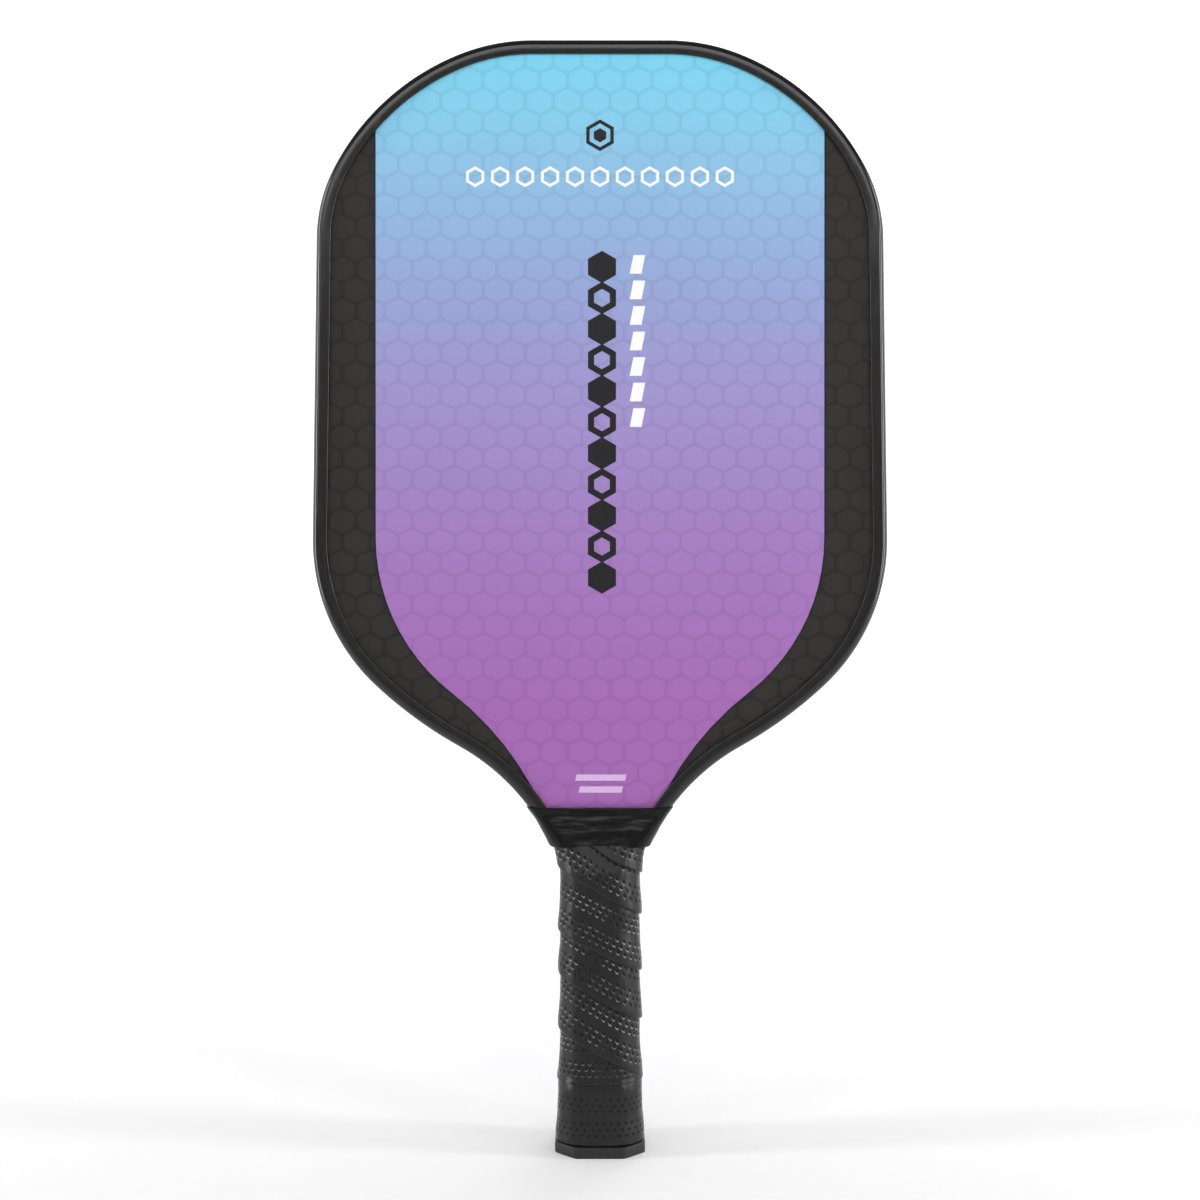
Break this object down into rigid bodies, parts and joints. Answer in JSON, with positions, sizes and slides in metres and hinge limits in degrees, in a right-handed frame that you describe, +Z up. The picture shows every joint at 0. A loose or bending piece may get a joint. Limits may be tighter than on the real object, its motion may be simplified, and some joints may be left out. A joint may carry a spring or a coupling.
{
  "type": "pickleball paddle",
  "caption": "Pickleball paddle: honeycomb sandwich head with gradient hexagon faces, a black edge guard, a throat band and a spiral-wrapped octagonal handle.",
  "frame": {"origin": "middle of the butt cap's end face", "axes": "+Z up the handle to the tip of the head, -Y out of the front face, +X to the right seen from the front"},
  "size_m": [0.2032, 0.0308, 0.392],
  "materials": {
    "core_polymer": "natural translucent polymer honeycomb",
    "face_composite": "textured composite with a hexagon relief",
    "film_print": "satin print, sky blue fading to violet, hexagon pattern",
    "guard_plastic": "glossy black moulded strip",
    "scale_foam": "dense foam",
    "cap_plastic": "satin black",
    "grip_cushion": "perforated cushioned synthetic leather, charcoal",
    "band_vinyl": "glossy black stretched vinyl"
  },
  "bodies": {
    "root": {"honeycomb_core": "core_polymer", "front_face_sheet": "face_composite", "back_face_sheet": "face_composite", "front_graphic_film": "film_print", "back_graphic_film": "film_print", "edge_guard": "guard_plastic", "handle_scale_front": "scale_foam", "handle_scale_back": "scale_foam", "butt_cap": "cap_plastic", "grip_wrap": "grip_cushion", "throat_band": "band_vinyl"}
  },
  "joints": []
}
